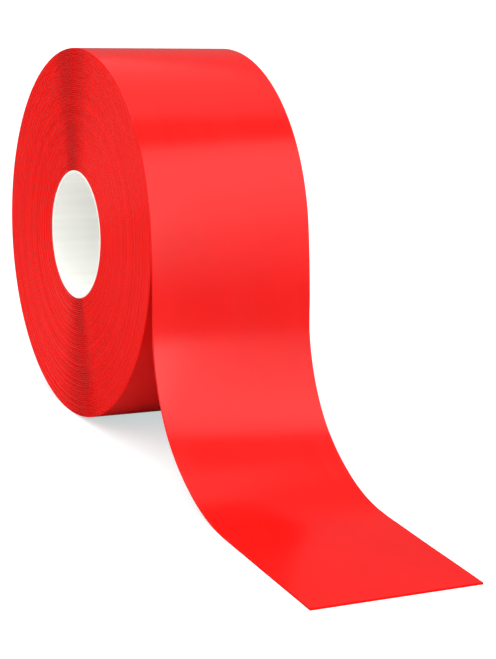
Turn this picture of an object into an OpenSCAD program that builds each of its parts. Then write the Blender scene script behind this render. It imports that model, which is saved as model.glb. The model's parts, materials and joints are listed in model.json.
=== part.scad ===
// Roll of heavy red sign and marking vinyl on a white core, with its loose end drawn out over the floor.
// Millimetres. +X runs along the core's axis, the loose end leaves towards -Y, +Z is up.
// The origin is the middle of the core's bore.

/* [Core] */
// Diameter of the hole through the core, a 3 inch mandrel size
bore_d = 76.2; // [50:0.1:100]
// Wall thickness of the core
core_wall = 1.4; // [1:0.1:6]

/* [Web] */
// Width of the vinyl, its liner and the core
web_w = 101.6; // [50:0.1:200]
// Thickness of the red vinyl film
film_t = 1; // [0.5:0.05:1.5]
// Thickness of the adhesive under the film
adhesive_t = 0.1; // [0.05:0.05:0.3]
// Thickness of the release liner under the adhesive
liner_t = 0.1; // [0.05:0.05:0.3]
// Whole turns wound on the core
turns = 61; // [5:1:80]

/* [Start tape] */
// Thickness of the strip that holds the first turn on the core
start_tape_t = 0.1; // [0.05:0.05:0.3]
// Length of that strip around the core
start_tape_len = 20; // [10:1:40]

/* [Loose end] */
// Height of the line where the web leaves the roll, as an angle above the core's level
leave_angle = 13.6; // [0:0.1:30]
// Radius of the bend that turns the web onto the floor, on its upper face
bend_r = 98; // [40:1:110]
// Length that lies flat on the floor
floor_len = 98; // [40:1:400]
// Length of film at the end that peels off the liner
flap_len = 28; // [10:1:35]
// Slit between two stretches of web that bend against each other
hinge_gap = 0.3; // [0.2:0.05:0.5]

/* [Hidden] */
$fn = 180;

red = [0.90, 0.07, 0.06];
milky = [0.93, 0.80, 0.78];
clear = [0.88, 0.86, 0.84];
white = [0.95, 0.95, 0.93];

// The web is a sandwich: film on the outer face, then adhesive, then liner.
web_t = film_t + adhesive_t + liner_t;
// Depth of each layer's upper side below the web's outer face
film_depth = 0;
adhesive_depth = film_t;
liner_depth = film_t + adhesive_t;

// The winding is a two-centre spiral: its upper halves are centred on the core, and its lower
// halves half a web thickness behind, so each half turn runs smoothly into the next.
bore_r = bore_d / 2;
core_r = bore_r + core_wall;
first_r = core_r + start_tape_t;
roll_r = first_r + (turns + 1) * web_t;
floor_z = -(first_r + (turns + 0.5) * web_t);

// Side view of the loose end, as [y, z]: a straight span down from the roll, a bend, then the floor.
span_heading = 270 - leave_angle;
leave_point = roll_r * [-cos(leave_angle), sin(leave_angle)];
bend_z = floor_z + web_t + bend_r;
span_len = (leave_point[1] + bend_r * sin(leave_angle) - bend_z) / cos(leave_angle);
span_end = leave_point + span_len * [cos(span_heading), sin(span_heading)];
bend_centre = [span_end[0] - bend_r * cos(leave_angle), bend_z];
bend_sweep = 90 - leave_angle;
gap_angle = hinge_gap / bend_r * 180 / PI;
floor_start = [bend_centre[0], floor_z + web_t];
floor_heading = 180;
flap_start = floor_start - [floor_len - flap_len, 0];

// Turns a side view drawn in [y, z] into a solid as wide as the web.
module across_width() {
    rotate([90, 0, 90])
        linear_extrude(height = web_w, center = true)
            children();
}

// One layer of an arc of web. Angles run from +Y over the top towards -Y.
module arc_layer(centre, inner_r, thickness, from_angle, sweep) {
    rotate([90, 0, 90])
        translate([centre[0], centre[1], 0])
            rotate([0, 0, from_angle])
                rotate_extrude(angle = sweep)
                    translate([inner_r, -web_w / 2])
                        square([thickness, web_w]);
}

// One layer of a straight stretch of web that starts at a point on its outer face.
module flat_layer(start, heading, length, depth, thickness) {
    across_width()
        translate(start)
            rotate(heading)
                translate([0, depth])
                    square([length, thickness]);
}

// One layer of the whole winding, as a single strip from the core to where the web leaves the roll.
module wound_layer(depth, thickness) {
    rise = web_t - depth - thickness;
    for (turn = [0 : turns - 1]) {
        arc_layer([0, 0], first_r + turn * web_t + rise, thickness, 0, 180);
        arc_layer([web_t / 2, 0], first_r + (turn + 0.5) * web_t + rise, thickness, 180, 180);
    }
    arc_layer([0, 0], first_r + turns * web_t + rise, thickness, 0, 180 - leave_angle);
}

// One layer of the straight span between the roll and the bend.
module span_layer(depth, thickness) {
    slit_end = leave_point + hinge_gap * [cos(span_heading), sin(span_heading)];
    flat_layer(slit_end, span_heading, span_len - hinge_gap, depth, thickness);
}

// One layer of the bend. The outer face is on the inside of this curve.
module bend_layer(depth, thickness) {
    arc_layer(bend_centre, bend_r + depth, thickness, -90, bend_sweep - gap_angle);
}

// One layer of the stretch on the floor.
module floor_layer(length, depth, thickness) {
    flat_layer(floor_start - [hinge_gap, 0], floor_heading, length - hinge_gap, depth, thickness);
}

// One layer of the end that peels.
module flap_layer(depth, thickness) {
    flat_layer(flap_start - [hinge_gap, 0], floor_heading, flap_len - hinge_gap, depth, thickness);
}

// White tube that the web is wound on.
module core_tube() {
    color(white)
        rotate([0, 90, 0])
            difference() {
                cylinder(r = core_r, h = web_w, center = true);
                cylinder(r = bore_r, h = web_w + 2, center = true);
            }
}

// Double-sided strip between the core and the start of the first turn.
module start_tape() {
    color(milky)
        arc_layer([0, 0], core_r, start_tape_t, 0, start_tape_len / core_r * 180 / PI);
}

module film_wound() {
    color(red)
        wound_layer(film_depth, film_t);
}

module adhesive_wound() {
    color(milky)
        wound_layer(adhesive_depth, adhesive_t);
}

module liner_wound() {
    color(clear)
        wound_layer(liner_depth, liner_t);
}

module film_span() {
    color(red)
        span_layer(film_depth, film_t);
}

module adhesive_span() {
    color(milky)
        span_layer(adhesive_depth, adhesive_t);
}

module liner_span() {
    color(clear)
        span_layer(liner_depth, liner_t);
}

module film_bend() {
    color(red)
        bend_layer(film_depth, film_t);
}

module adhesive_bend() {
    color(milky)
        bend_layer(adhesive_depth, adhesive_t);
}

module liner_bend() {
    color(clear)
        bend_layer(liner_depth, liner_t);
}

module film_floor() {
    color(red)
        floor_layer(floor_len - flap_len, film_depth, film_t);
}

module adhesive_floor() {
    color(milky)
        floor_layer(floor_len - flap_len, adhesive_depth, adhesive_t);
}

// The liner runs on under the flap to the cut end.
module liner_floor() {
    color(clear)
        floor_layer(floor_len, liner_depth, liner_t);
}

module film_flap() {
    color(red)
        flap_layer(film_depth, film_t);
}

module adhesive_flap() {
    color(milky)
        flap_layer(adhesive_depth, adhesive_t);
}

core_tube();
start_tape();
film_wound();
adhesive_wound();
liner_wound();
film_span();
adhesive_span();
liner_span();
film_bend();
adhesive_bend();
liner_bend();
film_floor();
adhesive_floor();
liner_floor();
film_flap();
adhesive_flap();
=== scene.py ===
"""Looks of a roll of heavy red vinyl on a white core, its loose end bent down onto the floor.

Everything is in metres in the frame's own axes: +X runs along the core, the loose end leaves towards -Y, and
+Z is up. The web is a sandwich of vinyl, adhesive and backing. Its outer face follows one path, which winds
round the core, leaves the roll, bends and lies on the floor. Each layer is built at its own depth below it.
"""

import json
import math

import bpy
import numpy as np
from mathutils import Matrix, Vector


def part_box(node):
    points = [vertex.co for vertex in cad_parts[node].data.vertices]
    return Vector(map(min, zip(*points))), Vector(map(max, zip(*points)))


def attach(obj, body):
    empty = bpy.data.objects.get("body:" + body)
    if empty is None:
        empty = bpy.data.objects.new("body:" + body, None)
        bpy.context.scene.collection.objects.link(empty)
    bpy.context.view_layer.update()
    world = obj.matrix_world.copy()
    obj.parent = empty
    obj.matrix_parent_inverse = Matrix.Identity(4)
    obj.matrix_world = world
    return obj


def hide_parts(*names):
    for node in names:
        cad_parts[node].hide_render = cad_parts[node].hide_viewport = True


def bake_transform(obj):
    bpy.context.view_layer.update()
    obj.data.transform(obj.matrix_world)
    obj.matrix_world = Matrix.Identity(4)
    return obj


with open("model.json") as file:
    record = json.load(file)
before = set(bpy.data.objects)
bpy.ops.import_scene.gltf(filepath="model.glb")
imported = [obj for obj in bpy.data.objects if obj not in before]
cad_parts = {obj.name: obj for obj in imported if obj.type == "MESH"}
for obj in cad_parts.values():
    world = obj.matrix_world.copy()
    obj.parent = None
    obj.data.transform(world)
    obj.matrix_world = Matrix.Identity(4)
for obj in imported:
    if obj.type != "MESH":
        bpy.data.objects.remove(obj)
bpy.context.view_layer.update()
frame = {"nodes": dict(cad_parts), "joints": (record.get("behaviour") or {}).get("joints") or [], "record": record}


# ---------------------------------------------------------------- sizes, all read from the frame

def thickness(node):
    """Height of a node that lies flat on the floor."""
    low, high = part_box(node)
    return high.z - low.z


JOINT_AT = {joint["name"]: Vector(joint["pos_m"]) for joint in frame["joints"]}
MOUNTS = {mount["name"]: mount for mount in frame["record"]["mounts"]}
HALF_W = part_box("film_wound")[1].x
FILM_T = thickness("film_floor")
GLUE_T = thickness("adhesive_floor")
BACKING_T = thickness("liner_floor")
WEB_T = FILM_T + GLUE_T + BACKING_T
FLOOR_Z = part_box("liner_floor")[0].z
CUT_END_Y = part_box("film_flap")[0].y
CORE_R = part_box("core_tube")[1].z
BORE_R = MOUNTS["core_bore"]["dims"]["r_mm"] / 1000
ROLL_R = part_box("film_wound")[1].z
FIRST_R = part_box("start_tape")[1].y
TURNS = round((ROLL_R - FIRST_R) / WEB_T) - 1


# ---------------------------------------------------------------- the web's path

STEPS_PER_TURN = 144
# Rough spacing of the path's points: round the last half turn, where the web is free, and where it lies flat
WOUND_STEP = 0.002
FREE_STEP = 0.001
FLAT_STEP = 0.0005

# The first turn lies close round the core and steps up over its own start. That step is this long,
# and it smooths out over this many turns.
STEP_ANGLE = math.radians(30)
STEP_FADE_TURNS = 12

# The free web leaves the roll a little above the CAD's line, and straightens before it bends the other way.
LEAVE_PSI = math.radians(16.5)
RELAX_LENGTH = 0.012
STRAIGHT_LENGTH = 0.034
STRAIGHT_CURVATURE = -1 / 0.60
TURN_IN_LENGTH = 0.022
TURN_OUT_LENGTH = 0.025
# The length of the bend itself is found between these two, by halving
SHORTEST_BEND = 0.02
LONGEST_BEND = 0.30
HALVINGS = 60


def normals_of(psi):
    """Outward normals, as [y, z], of a face whose normal stands psi above the horizon, towards the front."""
    return np.stack([-np.cos(psi), np.sin(psi)], axis=1)


def headings_of(psi):
    """Directions, as [y, z], in which a path with those outward normals runs on towards the cut end."""
    return np.stack([-np.sin(psi), -np.cos(psi)], axis=1)


def winding_path():
    """The outer face from the core to the last half turn: half turns about two centres half a web apart."""
    per_half = STEPS_PER_TURN // 2
    halves = 2 * TURNS
    step = np.arange(halves * per_half + 1)
    half = np.minimum(step // per_half, halves - 1)
    angle = step * math.pi / per_half
    radius = FIRST_R + (half / 2 + 1) * WEB_T
    centre_y = np.where(half % 2 == 1, WEB_T / 2, 0.0)
    psi = math.pi - angle
    turn = angle / (2 * math.pi)
    # Near the core, a lower half turn keeps the radius of the upper half before it and steps out at its end
    lower = np.where(half % 2 == 1, angle - half * math.pi, 0.0)
    late = np.clip((lower - math.pi + STEP_ANGLE) / STEP_ANGLE, 0, 1)
    sag = (1 - np.cos(lower)) / 2 - late * late * (3 - 2 * late)
    radius = radius - WEB_T * sag * np.clip(1 - half // 2 / STEP_FADE_TURNS, 0, 1)
    points = np.stack([centre_y, np.zeros(len(step))], axis=1) + radius[:, None] * normals_of(psi)
    return {"points": points, "psi": psi, "turn": turn}


def integrate(start, psi_start, curvature, step):
    """Points and normal angles of a path with the given curvature at each step."""
    psi = psi_start + np.concatenate([[0], np.cumsum((curvature[1:] + curvature[:-1]) / 2 * step)])
    heading = headings_of(psi)
    moves = (heading[1:] + heading[:-1]) / 2 * step
    return np.concatenate([[start], start + np.cumsum(moves, axis=0)]), psi


def free_curvature(bend_curvature, bend_length):
    """Curvature along the web from the roll to the floor, with no jumps, and the spacing of its points."""
    lengths = [0, RELAX_LENGTH, STRAIGHT_LENGTH, TURN_IN_LENGTH, bend_length, TURN_OUT_LENGTH]
    values = [-1 / ROLL_R, STRAIGHT_CURVATURE, STRAIGHT_CURVATURE, bend_curvature, bend_curvature, 0]
    knots = np.cumsum(lengths)
    count = int(round(knots[-1] / FREE_STEP)) + 1
    along = np.linspace(0, knots[-1], count)
    return np.interp(along, knots, values), along[1]


def free_path(start):
    """The web from where it leaves the roll to where it lies flat, its bend sized to land on the floor."""
    drop = start[1] - (FLOOR_Z + WEB_T)
    turning = math.pi / 2 - LEAVE_PSI
    before = RELAX_LENGTH * (-1 / ROLL_R + STRAIGHT_CURVATURE) / 2 + STRAIGHT_LENGTH * STRAIGHT_CURVATURE
    before += TURN_IN_LENGTH * STRAIGHT_CURVATURE / 2
    short, long = SHORTEST_BEND, LONGEST_BEND
    for _ in range(HALVINGS):
        bend_length = (short + long) / 2
        bend_curvature = (turning - before) / (bend_length + (TURN_IN_LENGTH + TURN_OUT_LENGTH) / 2)
        curvature, step = free_curvature(bend_curvature, bend_length)
        points, psi = integrate(start, LEAVE_PSI, curvature, step)
        if start[1] - points[-1][1] < drop:
            short = bend_length
        else:
            long = bend_length
    return points, psi


def loose_path():
    """The outer face over the last half turn, down to the floor and on to the cut end."""
    roll_psi = np.linspace(math.pi, LEAVE_PSI, int(math.pi * ROLL_R / WOUND_STEP))
    on_roll = ROLL_R * normals_of(roll_psi)
    free, free_psi = free_path(on_roll[-1])
    flat_length = free[-1][0] - CUT_END_Y
    flat_y = free[-1][0] - np.linspace(0, flat_length, int(flat_length / FLAT_STEP))[1:]
    flat = np.stack([flat_y, np.full(len(flat_y), free[-1][1])], axis=1)
    points = np.concatenate([on_roll, free[1:], flat])
    psi = np.concatenate([roll_psi, free_psi[1:], np.full(len(flat), math.pi / 2)])
    spacing = np.linalg.norm(np.diff(points, axis=0), axis=1)
    along = np.concatenate([[0], np.cumsum(spacing)])
    return {"points": points, "psi": psi, "along": along, "turn": TURNS + along / (2 * math.pi * ROLL_R)}


def nearest(path, joint):
    """Index of the path's point that is nearest to a joint's axis."""
    axis_yz = np.array([JOINT_AT[joint].y, JOINT_AT[joint].z])
    return int(np.argmin(np.linalg.norm(path["points"] - axis_yz, axis=1)))


def further(path, index, distance):
    """Index of the path's point that lies a distance further along than another."""
    return int(np.argmin(np.abs(path["along"] - path["along"][index] - distance)))


def piece_of(path, first, last):
    """The stretch of a path from one index to another, both included."""
    return {key: values[first:last + 1] for key, values in path.items()}


def at(path, index, offset):
    """A point of a path as a vector, moved along the path's heading."""
    y, z = path["points"][index]
    psi = path["psi"][index]
    return Vector((0, y - offset * math.sin(psi), z - offset * math.cos(psi)))


# ---------------------------------------------------------------- strips

# Sideways stray of the web's edges: each wave's height, its radians per turn and its phase
STRAY_WAVES = ((0.00009, 2.3, 0), (0.00005, 7.9, 1), (0.00002, 17.1, 2))

# Faint waviness of the loose path: its height, where along the path it starts to grow, over what length, and
# the least share of it
RIPPLE_HEIGHT = 0.00005
RIPPLE_FROM = math.pi * ROLL_R * 0.6
RIPPLE_GROWTH = 0.15
RIPPLE_LEAST = 0.15
# Each wave's share of that height, its radians per metre along and across the web, and its phase
RIPPLE_WAVES = ((1, 95, 14, 0), (0.7, 61, -31, 1.3))

# Curl of the web's edges where it bends most: tilt at the edge, reach inwards, and where the floor stops it
CURL_TILT = math.radians(3.5)
CURL_REACH = 0.018
CURL_ENDS = math.radians(64)
CURL_FADE = math.radians(20)
# The CAD's bend, as the circle through two joints that meets the floor flat
BEND_CHORD = JOINT_AT["tail_bend_flex"] - JOINT_AT["tail_end_lift"]
BEND_R = BEND_CHORD.length_squared / (2 * BEND_CHORD.z)


def section(faces, inset, corner_r, corner_steps, columns):
    """Cross-section of a strip, once round: x, depth, and the normal's share along x and outward."""
    top, bottom = faces
    half_w = HALF_W - inset
    rows = []
    for side, centre_depth, outward in ((1, top + corner_r, 1), (1, bottom - corner_r, -1),
                                        (-1, bottom - corner_r, -1), (-1, top + corner_r, 1)):
        angles = np.linspace(0, math.pi / 2, corner_steps)
        if side * outward < 0:
            angles = angles[::-1]
        for angle in angles:
            x = side * (half_w - corner_r + corner_r * math.sin(angle))
            rows.append((x, centre_depth - outward * corner_r * math.cos(angle),
                         side * math.sin(angle), outward * math.cos(angle)))
    outline = []
    for here, after in zip(rows, rows[1:] + rows[:1]):
        outline.append(here)
        is_wide_face = abs(after[0] - here[0]) > half_w
        if is_wide_face:
            for share in np.linspace(0, 1, columns + 1)[1:-1]:
                outline.append((here[0] + share * (after[0] - here[0]), here[1], 0.0, here[3]))
    return np.array(outline)


def stray(turn):
    """How far the web's edges stray sideways from turn to turn, as a winding machine leaves them."""
    return sum(height * np.sin(rate * turn + phase) for height, rate, phase in STRAY_WAVES)


def ripple(path, x):
    """Faint waviness of the free web, across its face."""
    along = path["along"][:, None]
    free = np.clip((along - RIPPLE_FROM) / RIPPLE_GROWTH, RIPPLE_LEAST, 1)
    waves = sum(share * np.sin(rate * along + across * x[None, :] + phase)
                for share, rate, across, phase in RIPPLE_WAVES)
    return RIPPLE_HEIGHT * free * waves


def curl(path, x):
    """How a bent web's edges turn away from the inside of the bend: the tilt of the face, and its drop."""
    bending = np.gradient(path["psi"], path["along"]) * BEND_R
    off_floor = np.clip((CURL_ENDS - path["psi"]) / CURL_FADE, 0, 1)
    share = np.clip(bending, 0, 1) * off_floor
    fade = np.exp((np.abs(x) - HALF_W) / CURL_REACH)
    tilt = share[:, None] * (CURL_TILT * np.sign(x) * fade)[None, :]
    drop = share[:, None] * (CURL_TILT * CURL_REACH * fade)[None, :]
    return tilt, drop


def strip_surface(path, outline):
    """Points of a strip, section after section, and the normal at each."""
    outward = normals_of(path["psi"])
    x = outline[:, 0][None, :] + stray(path["turn"])[:, None]
    lift = np.tile(-outline[:, 1], (len(outward), 1))
    tilt = np.zeros(lift.shape)
    if "along" in path:
        tilt, drop = curl(path, outline[:, 0])
        lift += ripple(path, outline[:, 0]) - drop
    yz = path["points"][:, None, :] + outward[:, None, :] * lift[:, :, None]
    points = np.concatenate([x[:, :, None], yz], axis=2)
    sideways = outline[:, 2] * np.cos(tilt) + outline[:, 3] * np.sin(tilt)
    upwards = outline[:, 3] * np.cos(tilt) - outline[:, 2] * np.sin(tilt)
    normals = np.concatenate([sideways[:, :, None], outward[:, None, :] * upwards[:, :, None]], axis=2)
    return points.reshape(-1, 3), normals.reshape(-1, 3)


def strip_faces(count, around):
    """Faces of a strip with that many sections and points round each: the quads, and the two end caps."""
    ring = np.arange(around)
    after = (ring + 1) % around
    base = (np.arange(count - 1) * around)[:, None]
    quads = np.stack([base + ring, base + around + ring, base + around + after, base + after], axis=2)
    end_cap = (count - 1) * around + ring[::-1]
    return quads.reshape(-1, 4), [ring.tolist(), end_cap.tolist()]


def strip(name, path, outline, looks):
    """A layer of the web: its cross-section carried along a path and closed at both ends."""
    count, around = len(path["psi"]), len(outline)
    points, normals = strip_surface(path, outline)
    quads, caps = strip_faces(count, around)
    headings = headings_of(path["psi"])
    cap_normals = [[0, *(-headings[0])]] * around + [[0, *headings[-1]]] * around
    corner_normals = normals[quads.ravel()].tolist() + cap_normals
    on_edge = (np.abs(outline[:, 2] + np.roll(outline[:, 2], -1)) > 1).astype(int)
    material_of_face = np.tile(on_edge, count - 1).tolist() + [1, 1]
    thing = add_mesh(name, points, quads.tolist() + caps, looks)
    thing.data.polygons.foreach_set("material_index", material_of_face)
    thing.data.normals_split_custom_set(corner_normals)
    thing.data.validate()
    return thing


def add_mesh(name, points, faces, looks):
    """A smooth mesh object, in the first of its looks all over."""
    mesh = bpy.data.meshes.new(name)
    mesh.from_pydata(points.tolist(), [], faces)
    for material in looks:
        mesh.materials.append(material)
    mesh.polygons.foreach_set("use_smooth", [True] * len(faces))
    thing = bpy.data.objects.new(name, mesh)
    bpy.context.scene.collection.objects.link(thing)
    return thing


# ---------------------------------------------------------------- material parts

# Nearly all of a noise pattern's values lie between these two
NOISE_LOW = 0.3
NOISE_HIGH = 0.7
DEGREES_PER_RADIAN = 180 / math.pi


def new_material(name):
    """An empty node material: its nodes, its links and its principled shader."""
    material = bpy.data.materials.new(name)
    material.use_nodes = True
    tree = material.node_tree
    return material, tree.nodes, tree.links, tree.nodes["Principled BSDF"]


def stretched(nodes, links, scale):
    """Object coordinates, stretched by a scale for each axis."""
    source = nodes.new("ShaderNodeTexCoord")
    mapping = nodes.new("ShaderNodeMapping")
    mapping.inputs["Scale"].default_value = scale
    links.new(source.outputs["Object"], mapping.inputs["Vector"])
    return mapping.outputs["Vector"]


def noise(nodes, links, coordinates, scale, detail):
    """A noise pattern's value at some coordinates."""
    texture = nodes.new("ShaderNodeTexNoise")
    texture.inputs["Scale"].default_value = scale
    texture.inputs["Detail"].default_value = detail
    links.new(coordinates, texture.inputs["Vector"])
    return texture.outputs["Fac"]


def radial_sheen_bands(nodes, links):
    """Painted sheen: a value from 0 to 1 that wanders with the distance from the core's axis, in rings."""
    flat = nodes.new("ShaderNodeVectorMath")
    flat.operation = "MULTIPLY"
    flat.inputs[1].default_value = (0, 1, 1)
    links.new(nodes.new("ShaderNodeTexCoord").outputs["Object"], flat.inputs[0])
    distance = nodes.new("ShaderNodeVectorMath")
    distance.operation = "LENGTH"
    links.new(flat.outputs["Vector"], distance.inputs[0])
    texture = nodes.new("ShaderNodeTexNoise")
    texture.noise_dimensions = "1D"
    texture.inputs["Scale"].default_value = 190
    texture.inputs["Detail"].default_value = 4
    links.new(distance.outputs["Value"], texture.inputs["W"])
    return between(nodes, links, texture.outputs["Fac"], 0, 1)


def between(nodes, links, value, low, high):
    """A noise pattern's value spread from low to high."""
    spread = nodes.new("ShaderNodeMapRange")
    spread.inputs["From Min"].default_value = NOISE_LOW
    spread.inputs["From Max"].default_value = NOISE_HIGH
    spread.inputs["To Min"].default_value = low
    spread.inputs["To Max"].default_value = high
    links.new(value, spread.inputs["Value"])
    return spread.outputs["Result"]


def tint(nodes, links, value, dark, light):
    """A colour between two, by a noise pattern's value."""
    ramp = nodes.new("ShaderNodeValToRGB")
    ramp.color_ramp.elements[0].position = NOISE_LOW
    ramp.color_ramp.elements[1].position = NOISE_HIGH
    ramp.color_ramp.elements[0].color = (*dark, 1)
    ramp.color_ramp.elements[1].color = (*light, 1)
    links.new(value, ramp.inputs["Fac"])
    return ramp.outputs["Color"]


def bumps(nodes, links, shader, height, distance, strength):
    """Small relief on a shader's normal."""
    bump = nodes.new("ShaderNodeBump")
    bump.inputs["Distance"].default_value = distance
    bump.inputs["Strength"].default_value = strength
    links.new(height, bump.inputs["Height"])
    links.new(bump.outputs["Normal"], shader.inputs["Normal"])


def smooth_step(nodes, links, value, low, high):
    """0 below low, 1 above high and smooth between them, or the other way round where low is the larger."""
    ramp = nodes.new("ShaderNodeMapRange")
    ramp.interpolation_type = "SMOOTHSTEP"
    ramp.inputs["From Min"].default_value = low
    ramp.inputs["From Max"].default_value = high
    links.new(value, ramp.inputs["Value"])
    return ramp.outputs["Result"]


def combine(nodes, links, operation, first, second):
    """The result of a maths operation on two values, each a socket or a number."""
    node = nodes.new("ShaderNodeMath")
    node.operation = operation
    for socket, value in zip(node.inputs, (first, second)):
        if isinstance(value, (int, float)):
            socket.default_value = value
        else:
            links.new(value, socket)
    return node.outputs["Value"]


# ---------------------------------------------------------------- materials

def vinyl_face_material():
    """Smooth calendered red vinyl, with faint lines along the web."""
    material, nodes, links, shader = new_material("red_vinyl_face")
    object_space = stretched(nodes, links, (1, 1, 1))
    clouds = noise(nodes, links, object_space, scale=22, detail=2)
    colour = tint(nodes, links, clouds, dark=(0.70, 0.0038, 0.0025), light=(0.75, 0.0050, 0.0033))
    links.new(colour, shader.inputs["Base Color"])
    lines = noise(nodes, links, stretched(nodes, links, (260, 3, 3)), scale=1, detail=2)
    links.new(between(nodes, links, lines, 0.19, 0.23), shader.inputs["Roughness"])
    shader.inputs["IOR"].default_value = 1.47
    grain = noise(nodes, links, object_space, scale=900, detail=2)
    bumps(nodes, links, shader, grain, distance=0.00002, strength=0.12)
    return material


# Painted shade: two dark wedges run out from the core over the roll's side, one up and one down, in place
# of the sheen of the wound edges. Their middle line leans back by this many degrees, and each starts and ends
# over these stretches of degrees from its middle line.
WEDGE_AT = 14
WEDGE_STARTS = (-24, -1)
WEDGE_ENDS = (2, 15)
# What the web's edge is multiplied by in the middle of a wedge of painted shade
WEDGE_SHADE = (0.70, 0.50, 0.50)


def painted_sheen_wedges(nodes, links):
    """1 in the middle of the two wedges of painted shade, and 0 outside them."""
    split = nodes.new("ShaderNodeSeparateXYZ")
    links.new(nodes.new("ShaderNodeTexCoord").outputs["Object"], split.inputs["Vector"])
    angle = combine(nodes, links, "ARCTAN2", split.outputs["Y"], split.outputs["Z"])
    degrees = combine(nodes, links, "MULTIPLY", angle, DEGREES_PER_RADIAN)
    # Folded by half a turn, so that one range covers both wedges, with their middle at 0
    shifted = combine(nodes, links, "ADD", degrees, 90 - WEDGE_AT)
    folded = combine(nodes, links, "FLOORED_MODULO", shifted, 180)
    offset = combine(nodes, links, "SUBTRACT", folded, 90)
    begun = smooth_step(nodes, links, offset, WEDGE_STARTS[0], WEDGE_STARTS[1])
    not_ended = smooth_step(nodes, links, offset, WEDGE_ENDS[1], WEDGE_ENDS[0])
    return combine(nodes, links, "MULTIPLY", begun, not_ended)


def edge_material(name, dark, light):
    """The web's slit edge: matter than its face, scored by the knife, with painted sheen in rings and
    two wedges of painted shade over the side, in place of the sheen of the wound edges.
    """
    material, nodes, links, shader = new_material(name)
    scores = noise(nodes, links, stretched(nodes, links, (2500, 60, 60)), scale=1, detail=3)
    # Painted sheen: the edge goes lighter and darker in rings with the distance from the core's axis
    plain = nodes.new("ShaderNodeMix")
    plain.data_type = "RGBA"
    links.new(radial_sheen_bands(nodes, links), plain.inputs["Factor"])
    plain.inputs["A"].default_value = (*dark, 1)
    plain.inputs["B"].default_value = (*light, 1)
    # Painted shade: the edge darkens in two wedges over the side, in place of the wound edges' sheen
    painted_shade_mix = nodes.new("ShaderNodeMix")
    painted_shade_mix.data_type = "RGBA"
    painted_shade_mix.blend_type = "MULTIPLY"
    links.new(painted_sheen_wedges(nodes, links), painted_shade_mix.inputs["Factor"])
    links.new(plain.outputs["Result"], painted_shade_mix.inputs["A"])
    painted_shade_mix.inputs["B"].default_value = (*WEDGE_SHADE, 1)
    links.new(painted_shade_mix.outputs["Result"], shader.inputs["Base Color"])
    links.new(between(nodes, links, scores, 0.42, 0.56), shader.inputs["Roughness"])
    shader.inputs["IOR"].default_value = 1.45
    shader.inputs["Specular IOR Level"].default_value = 0.025
    bumps(nodes, links, shader, scores, distance=0.00003, strength=0.25)
    return material


def glue_material():
    """Clear acrylic adhesive over the red film."""
    material, nodes, links, shader = new_material("clear_adhesive")
    streaks = noise(nodes, links, stretched(nodes, links, (180, 25, 25)), scale=1, detail=3)
    colour = tint(nodes, links, streaks, dark=(0.52, 0.020, 0.016), light=(0.62, 0.035, 0.028))
    links.new(colour, shader.inputs["Base Color"])
    links.new(between(nodes, links, streaks, 0.16, 0.26), shader.inputs["Roughness"])
    shader.inputs["IOR"].default_value = 1.47
    bumps(nodes, links, shader, streaks, distance=0.00003, strength=0.3)
    return material


def backing_material():
    """Thin milky release film: the red shows through it."""
    material, nodes, links, shader = new_material("release_backing")
    object_space = stretched(nodes, links, (1, 1, 1))
    haze = noise(nodes, links, object_space, scale=18, detail=2)
    colour = tint(nodes, links, haze, dark=(0.62, 0.085, 0.070), light=(0.66, 0.100, 0.083))
    links.new(colour, shader.inputs["Base Color"])
    patches = noise(nodes, links, object_space, scale=60, detail=2)
    links.new(between(nodes, links, patches, 0.28, 0.33), shader.inputs["Roughness"])
    shader.inputs["IOR"].default_value = 1.5
    drag = noise(nodes, links, stretched(nodes, links, (150, 6, 6)), scale=1, detail=2)
    bumps(nodes, links, shader, drag, distance=0.00001, strength=0.2)
    return material


def core_material():
    """Satin white tube with faint lines along its bore."""
    material, nodes, links, shader = new_material("white_core")
    lines = noise(nodes, links, stretched(nodes, links, (4, 260, 260)), scale=1, detail=3)
    colour = tint(nodes, links, lines, dark=(0.88, 0.89, 0.85), light=(0.93, 0.94, 0.90))
    links.new(colour, shader.inputs["Base Color"])
    links.new(between(nodes, links, lines, 0.36, 0.50), shader.inputs["Roughness"])
    shader.inputs["IOR"].default_value = 1.46
    bumps(nodes, links, shader, lines, distance=0.00004, strength=0.25)
    return material


def tape_material():
    """Double-sided tape under the first turn."""
    material, nodes, links, shader = new_material("start_tape")
    fibres = noise(nodes, links, stretched(nodes, links, (90, 500, 500)), scale=1, detail=4)
    colour = tint(nodes, links, fibres, dark=(0.66, 0.64, 0.58), light=(0.78, 0.76, 0.70))
    links.new(colour, shader.inputs["Base Color"])
    links.new(between(nodes, links, fibres, 0.45, 0.6), shader.inputs["Roughness"])
    return material


# ---------------------------------------------------------------- pieces

# The core stands back from the web's edges by this much, and its rims are rounded by this radius
CORE_INSET = 0.0001
RIM_ROUND = 0.0002
RIM_STEPS = 6
CORE_SEGMENTS = 160

# Each layer's cross-section: the depths of its two faces below the web's outer face, how far it stands back
# from the web's edges, and the radius of its corners and how many points each has
VINYL_SHAPE = {"faces": (0.0, FILM_T), "inset": 0.0, "corner_r": 0.00028, "corner_steps": 4}
GLUE_SHAPE = {"faces": (FILM_T, FILM_T + GLUE_T), "inset": 0.00007, "corner_r": 0.00004, "corner_steps": 2}
BACKING_SHAPE = {"faces": (FILM_T + GLUE_T, WEB_T), "inset": 0.00006, "corner_r": 0.00004, "corner_steps": 2}
# Columns of quads over a wide face: the wound turns are straight across, and the loose end curls
WOUND_COLUMNS = 1
LOOSE_COLUMNS = 14

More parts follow.
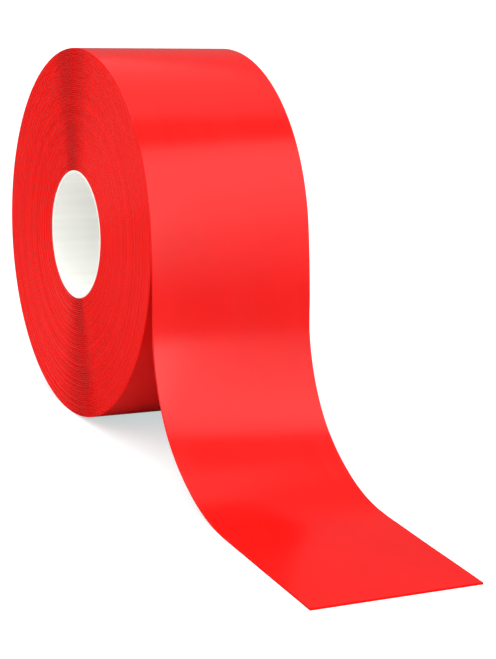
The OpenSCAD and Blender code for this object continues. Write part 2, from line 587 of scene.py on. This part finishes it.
# Each stretch of the loose end: the joint that it bends at, the bodies before and after that joint, and
# where the bend starts and ends, along the web from the joint's axis
BENDS = {
    "lead": ("tail_root_flex", "roll", "tail_upper", -0.012, 0.018),
    "curve": ("tail_bend_flex", "tail_upper", "tail_curve", -0.038, 0.038),
    "end": ("tail_end_lift", "tail_curve", "tail_end", -0.012, 0.020),
    "flap": ("film_peel", "tail_end", "peel_end", -0.0012, 0.010),
}
# How far the first seam lies past the joint at the roll, and the last one before the joint of the peel
SEAM_PAST_ROOT = 0.024
SEAM_BEFORE_PEEL = 0.010
# The last part of the CAD node's name for each stretch
NODE_END = {"lead": "span", "curve": "bend", "end": "floor", "flap": "flap"}


def rim_profile():
    """Half section of the tube, once round, as (x, radius)."""
    end = HALF_W - CORE_INSET
    corners = ((-1, BORE_R + RIM_ROUND, 180), (-1, CORE_R - RIM_ROUND, 90),
               (1, CORE_R - RIM_ROUND, 0), (1, BORE_R + RIM_ROUND, 270))
    points = []
    for side, radius, first in corners:
        for angle in np.radians(np.linspace(first + 90, first, RIM_STEPS)):
            points.append((side * (end - RIM_ROUND) + RIM_ROUND * math.cos(angle),
                           radius + RIM_ROUND * math.sin(angle)))
    return points


def core_piece(material):
    """The white tube, with rounded rims: its profile carried once round the X axis."""
    profile = np.array(rim_profile())
    angles = np.arange(CORE_SEGMENTS) * 2 * math.pi / CORE_SEGMENTS
    x = np.tile(profile[:, 0], (CORE_SEGMENTS, 1))
    y = np.cos(angles)[:, None] * profile[:, 1]
    z = np.sin(angles)[:, None] * profile[:, 1]
    points = np.stack([x, y, z], axis=2).reshape(-1, 3)
    # A strip with one section more, whose last section is the first again, closes the ring
    quads, _ = strip_faces(CORE_SEGMENTS + 1, len(profile))
    return add_mesh("core", points, (quads % len(points)).tolist(), [material])


def stretch_of(loose, name, first, last):
    """A stretch of the loose end: its path, its two bodies, and where the bend between them is."""
    joint, body, next_body, spread_from, spread_to = BENDS[name]
    hinge = nearest(loose, joint)
    path = piece_of(loose, first, last)
    return path, body, next_body, at(loose, hinge, spread_from), at(loose, hinge, spread_to)


def loose_stretches():
    """The stretches of the loose end, from seam to seam: for the layers that peel, and for the backing."""
    loose = loose_path()
    cut = len(loose["psi"]) - 1
    mid_span = further(loose, nearest(loose, "tail_root_flex"), SEAM_PAST_ROOT)
    mid_bend = (nearest(loose, "tail_bend_flex") + nearest(loose, "tail_end_lift")) // 2
    before_peel = further(loose, nearest(loose, "film_peel"), -SEAM_BEFORE_PEEL)
    upper = {
        "lead": stretch_of(loose, "lead", 0, mid_span),
        "curve": stretch_of(loose, "curve", mid_span, mid_bend),
    }
    short_end = stretch_of(loose, "end", mid_bend, before_peel)
    flap = stretch_of(loose, "flap", before_peel, cut)
    long_end = stretch_of(loose, "end", mid_bend, cut)
    return {**upper, "end": short_end, "flap": flap}, {**upper, "end": long_end}


def add_layer(layer, node, shape, looks, winding, stretches):
    """One layer of the web: its wound turns, and its stretches of the loose end."""
    wound = strip(f"{layer}_winding", winding, section(**shape, columns=WOUND_COLUMNS), looks)
    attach(wound, "roll")
    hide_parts(f"{node}_wound")
    outline = section(**shape, columns=LOOSE_COLUMNS)
    for stretch, (path, body, next_body, start, end) in stretches.items():
        thing = strip(f"{layer}_{stretch}", path, outline, looks)
        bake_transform(thing)
        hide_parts(f"{node}_{NODE_END[stretch]}")


def add_web():
    """The three layers of the web, from the core to the cut end."""
    winding = winding_path()
    peeling, staying = loose_stretches()
    edge = edge_material("red_vinyl_slit_edge", (0.77, 0.0038, 0.0030), (0.85, 0.0048, 0.0038))
    thin_edge = edge_material("thin_layer_slit_edge", (0.72, 0.0095, 0.0075), (0.80, 0.0130, 0.0100))
    vinyl_looks = (vinyl_face_material(), edge)
    glue_looks = (glue_material(), thin_edge)
    backing_looks = (backing_material(), thin_edge)
    add_layer("vinyl", "film", VINYL_SHAPE, vinyl_looks, winding, peeling)
    add_layer("glue", "adhesive", GLUE_SHAPE, glue_looks, winding, peeling)
    add_layer("backing", "liner", BACKING_SHAPE, backing_looks, winding, staying)


def add_core():
    """The white tube, in place of the CAD's."""
    core = core_piece(core_material())
    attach(core, "roll")
    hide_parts("core_tube")


def dress_start_tape():
    """A look of its own for the strip of tape under the first turn, which keeps the CAD's shape."""
    tape = frame["nodes"]["start_tape"]
    tape.data.materials.clear()
    tape.data.materials.append(tape_material())


# ---------------------------------------------------------------- studio

FLOOR_REACH = 15
# The floor's shade, its change where gloss mirrors it and where it bounces light, and the glow that only the
# camera sees
FLOOR_SHADE = 0.55
DARKER_IN_GLOSS = -0.43
BRIGHTER_IN_BOUNCE = 0.27
FLOOR_GLOW = 0.61
GLOW_COLOUR = (0.88, 1, 1)

# Soft light from far off: azimuth from and to (0 behind the roll, 90 at its right, -90 at its left),
# elevation from and to, brightness, and how soft the rim is, all in degrees but the brightness.
AMBIENT = 0.20
FAR_BOXES = (
    (-168, -12, 22, 62, 2.12, 6),
    (62, 100, 24, 50, 2.30, 6),
    (-180, 180, 73, 91, 3.20, 3),
)

# How far off the standing panels are, and the brightness of each panel from its foot to its head
PANEL_DISTANCE = 1.2
FRONT_BRIGHTNESS = (0.40, 0.88, 1.10, 1.25, 1.35, 1.38, 1.30, 1.20, 1.10)
NEAR_BRIGHTNESS = (1.6, 1.6, 1.6)
TOP_BRIGHTNESS = (0.36, 0.36, 0.36)
# A curve node's values stay below 1, so the brightness is divided by this before it and multiplied after it
BRIGHTNESS_SCALE = 4


def add_floor():
    """A wide plain pale floor under the roll. To the eye it glows a little, but the glow lights nothing."""
    mesh = bpy.data.meshes.new("studio_floor")
    corners = [(x * FLOOR_REACH, y * FLOOR_REACH, FLOOR_Z) for x, y in ((-1, -1), (1, -1), (1, 1), (-1, 1))]
    mesh.from_pydata(corners, [], [(0, 1, 2, 3)])
    material, nodes, links, shader = new_material("pale_floor")
    rays = nodes.new("ShaderNodeLightPath").outputs
    for_gloss = combine(nodes, links, "MULTIPLY", rays["Is Glossy Ray"], DARKER_IN_GLOSS)
    for_bounce = combine(nodes, links, "MULTIPLY", rays["Is Diffuse Ray"], BRIGHTER_IN_BOUNCE)
    change = combine(nodes, links, "ADD", for_gloss, for_bounce)
    links.new(combine(nodes, links, "ADD", change, FLOOR_SHADE), shader.inputs["Base Color"])
    shader.inputs["Roughness"].default_value = 0.8
    shader.inputs["Specular IOR Level"].default_value = 0.1
    shader.inputs["Emission Color"].default_value = (*GLOW_COLOUR, 1)
    glow = combine(nodes, links, "MULTIPLY", rays["Is Camera Ray"], FLOOR_GLOW)
    links.new(glow, shader.inputs["Emission Strength"])
    mesh.materials.append(material)
    floor = bpy.data.objects.new("studio_floor", mesh)
    bpy.context.scene.collection.objects.link(floor)


def window(nodes, links, value, low, high, soft):
    """1 where a value lies between two limits, fading to 0 over a soft margin."""
    above = smooth_step(nodes, links, value, low - soft, low + soft)
    below = smooth_step(nodes, links, value, high + soft, high - soft)
    return combine(nodes, links, "MULTIPLY", above, below)


def add_surround():
    """A dim surround with a soft light at each side of the roll and one overhead, plain white to the eye."""
    world = bpy.data.worlds.new("studio")
    bpy.context.scene.world = world
    world.use_nodes = True
    nodes, links = world.node_tree.nodes, world.node_tree.links
    direction = nodes.new("ShaderNodeTexCoord").outputs["Generated"]
    split = nodes.new("ShaderNodeSeparateXYZ")
    links.new(direction, split.inputs["Vector"])
    turn = combine(nodes, links, "ARCTAN2", split.outputs["X"], split.outputs["Y"])
    azimuth = combine(nodes, links, "MULTIPLY", turn, DEGREES_PER_RADIAN)
    rise = nodes.new("ShaderNodeMath")
    rise.operation = "ARCSINE"
    links.new(split.outputs["Z"], rise.inputs[0])
    elevation = combine(nodes, links, "MULTIPLY", rise.outputs["Value"], DEGREES_PER_RADIAN)

    total = AMBIENT
    for left, right, low, high, brightness, soft in FAR_BOXES:
        beside = window(nodes, links, azimuth, left, right, soft)
        shape = combine(nodes, links, "MULTIPLY", beside, window(nodes, links, elevation, low, high, soft))
        lit = combine(nodes, links, "MULTIPLY", shape, brightness)
        total = combine(nodes, links, "ADD", lit, total)
    seen = nodes.new("ShaderNodeLightPath").outputs["Is Camera Ray"]
    links.new(combine(nodes, links, "MAXIMUM", total, seen), nodes["Background"].inputs["Strength"])
    nodes["Background"].inputs["Color"].default_value = (1, 1, 1, 1)


def add_panel(name, centre, facing, size, brightness):
    """A flat rectangular studio light that the camera doesn't see, its power in proportion to its size."""
    data = bpy.data.lights.new(name, "AREA")
    data.shape = "RECTANGLE"
    data.size, data.size_y = size
    data.energy = math.pi * size[0] * size[1]
    data.use_nodes = True
    nodes, links = data.node_tree.nodes, data.node_tree.links
    up = nodes.new("ShaderNodeSeparateXYZ")
    links.new(nodes.new("ShaderNodeNewGeometry").outputs["Parametric"], up.inputs["Vector"])
    ramp = nodes.new("ShaderNodeFloatCurve")
    curve = ramp.mapping.curves[0]
    steps = np.linspace(0, 1, len(brightness))
    curve.points[0].location = (0, brightness[0] / BRIGHTNESS_SCALE)
    curve.points[1].location = (1, brightness[-1] / BRIGHTNESS_SCALE)
    for step, value in zip(steps[1:-1], brightness[1:-1]):
        curve.points.new(step, value / BRIGHTNESS_SCALE)
    ramp.mapping.update()
    links.new(up.outputs["Y"], ramp.inputs["Value"])
    strength = combine(nodes, links, "MULTIPLY", ramp.outputs["Value"], BRIGHTNESS_SCALE)
    links.new(strength, nodes["Emission"].inputs["Strength"])
    panel = bpy.data.objects.new(name, data)
    panel.location = centre
    panel.rotation_euler = Vector(facing).to_track_quat("-Z", "Y").to_euler()
    panel.visible_camera = False
    bpy.context.scene.collection.objects.link(panel)


def add_standing_panel(name, azimuth, middle, size, brightness):
    """An upright panel that faces a point level with its own middle, from an azimuth measured as above."""
    away = math.radians(azimuth)
    facing = Vector((-math.sin(away), -math.cos(away), 0))
    add_panel(name, Vector(middle) - PANEL_DISTANCE * facing, facing, size, brightness)


def add_studio_light():
    """Plain soft studio light: the surround, two tall panels in front and one over the back."""
    add_surround()
    add_standing_panel("front_panel", 150, (0, -0.08, 1.06), (2.0, 1.86), FRONT_BRIGHTNESS)
    add_standing_panel("near_panel", 173, (0, -0.15, 0.85), (0.66, 1.3), NEAR_BRIGHTNESS)
    add_panel("top_panel", (-0.035, 0.595, 0.7), (0, 0, -1), (0.93, 1.41), TOP_BRIGHTNESS)


# ---------------------------------------------------------------- camera

CAMERA_AT = Vector((-0.4756, -1.0310, 0.2586))
HEADING = math.radians(28.08)
PITCH = math.radians(15.68)
TILT = math.radians(4.09)
LENS_MM = 100.7
SENSOR_MM = 36
FURTHEST_SEEN = 50


def add_camera():
    """A long lens from the front left, looking a little down."""
    level_ahead = math.cos(PITCH)
    forward = Vector((level_ahead * math.sin(HEADING), level_ahead * math.cos(HEADING), -math.sin(PITCH)))
    level = Vector((math.cos(HEADING), -math.sin(HEADING), 0))
    upright = level.cross(forward)
    right = math.cos(TILT) * level + math.sin(TILT) * upright
    up = math.cos(TILT) * upright - math.sin(TILT) * level
    camera_data = bpy.data.cameras.new("camera")
    camera_data.lens = LENS_MM
    camera_data.sensor_width = SENSOR_MM
    camera_data.clip_end = FURTHEST_SEEN
    camera = bpy.data.objects.new("camera", camera_data)
    axes = Matrix((right, up, -forward)).transposed()
    camera.matrix_world = Matrix.Translation(CAMERA_AT) @ axes.to_4x4()
    bpy.context.scene.collection.objects.link(camera)
    bpy.context.scene.camera = camera


add_camera()
add_web()
add_core()
dress_start_tape()
add_floor()
add_studio_light()
bpy.context.scene.view_settings.view_transform = "Standard"
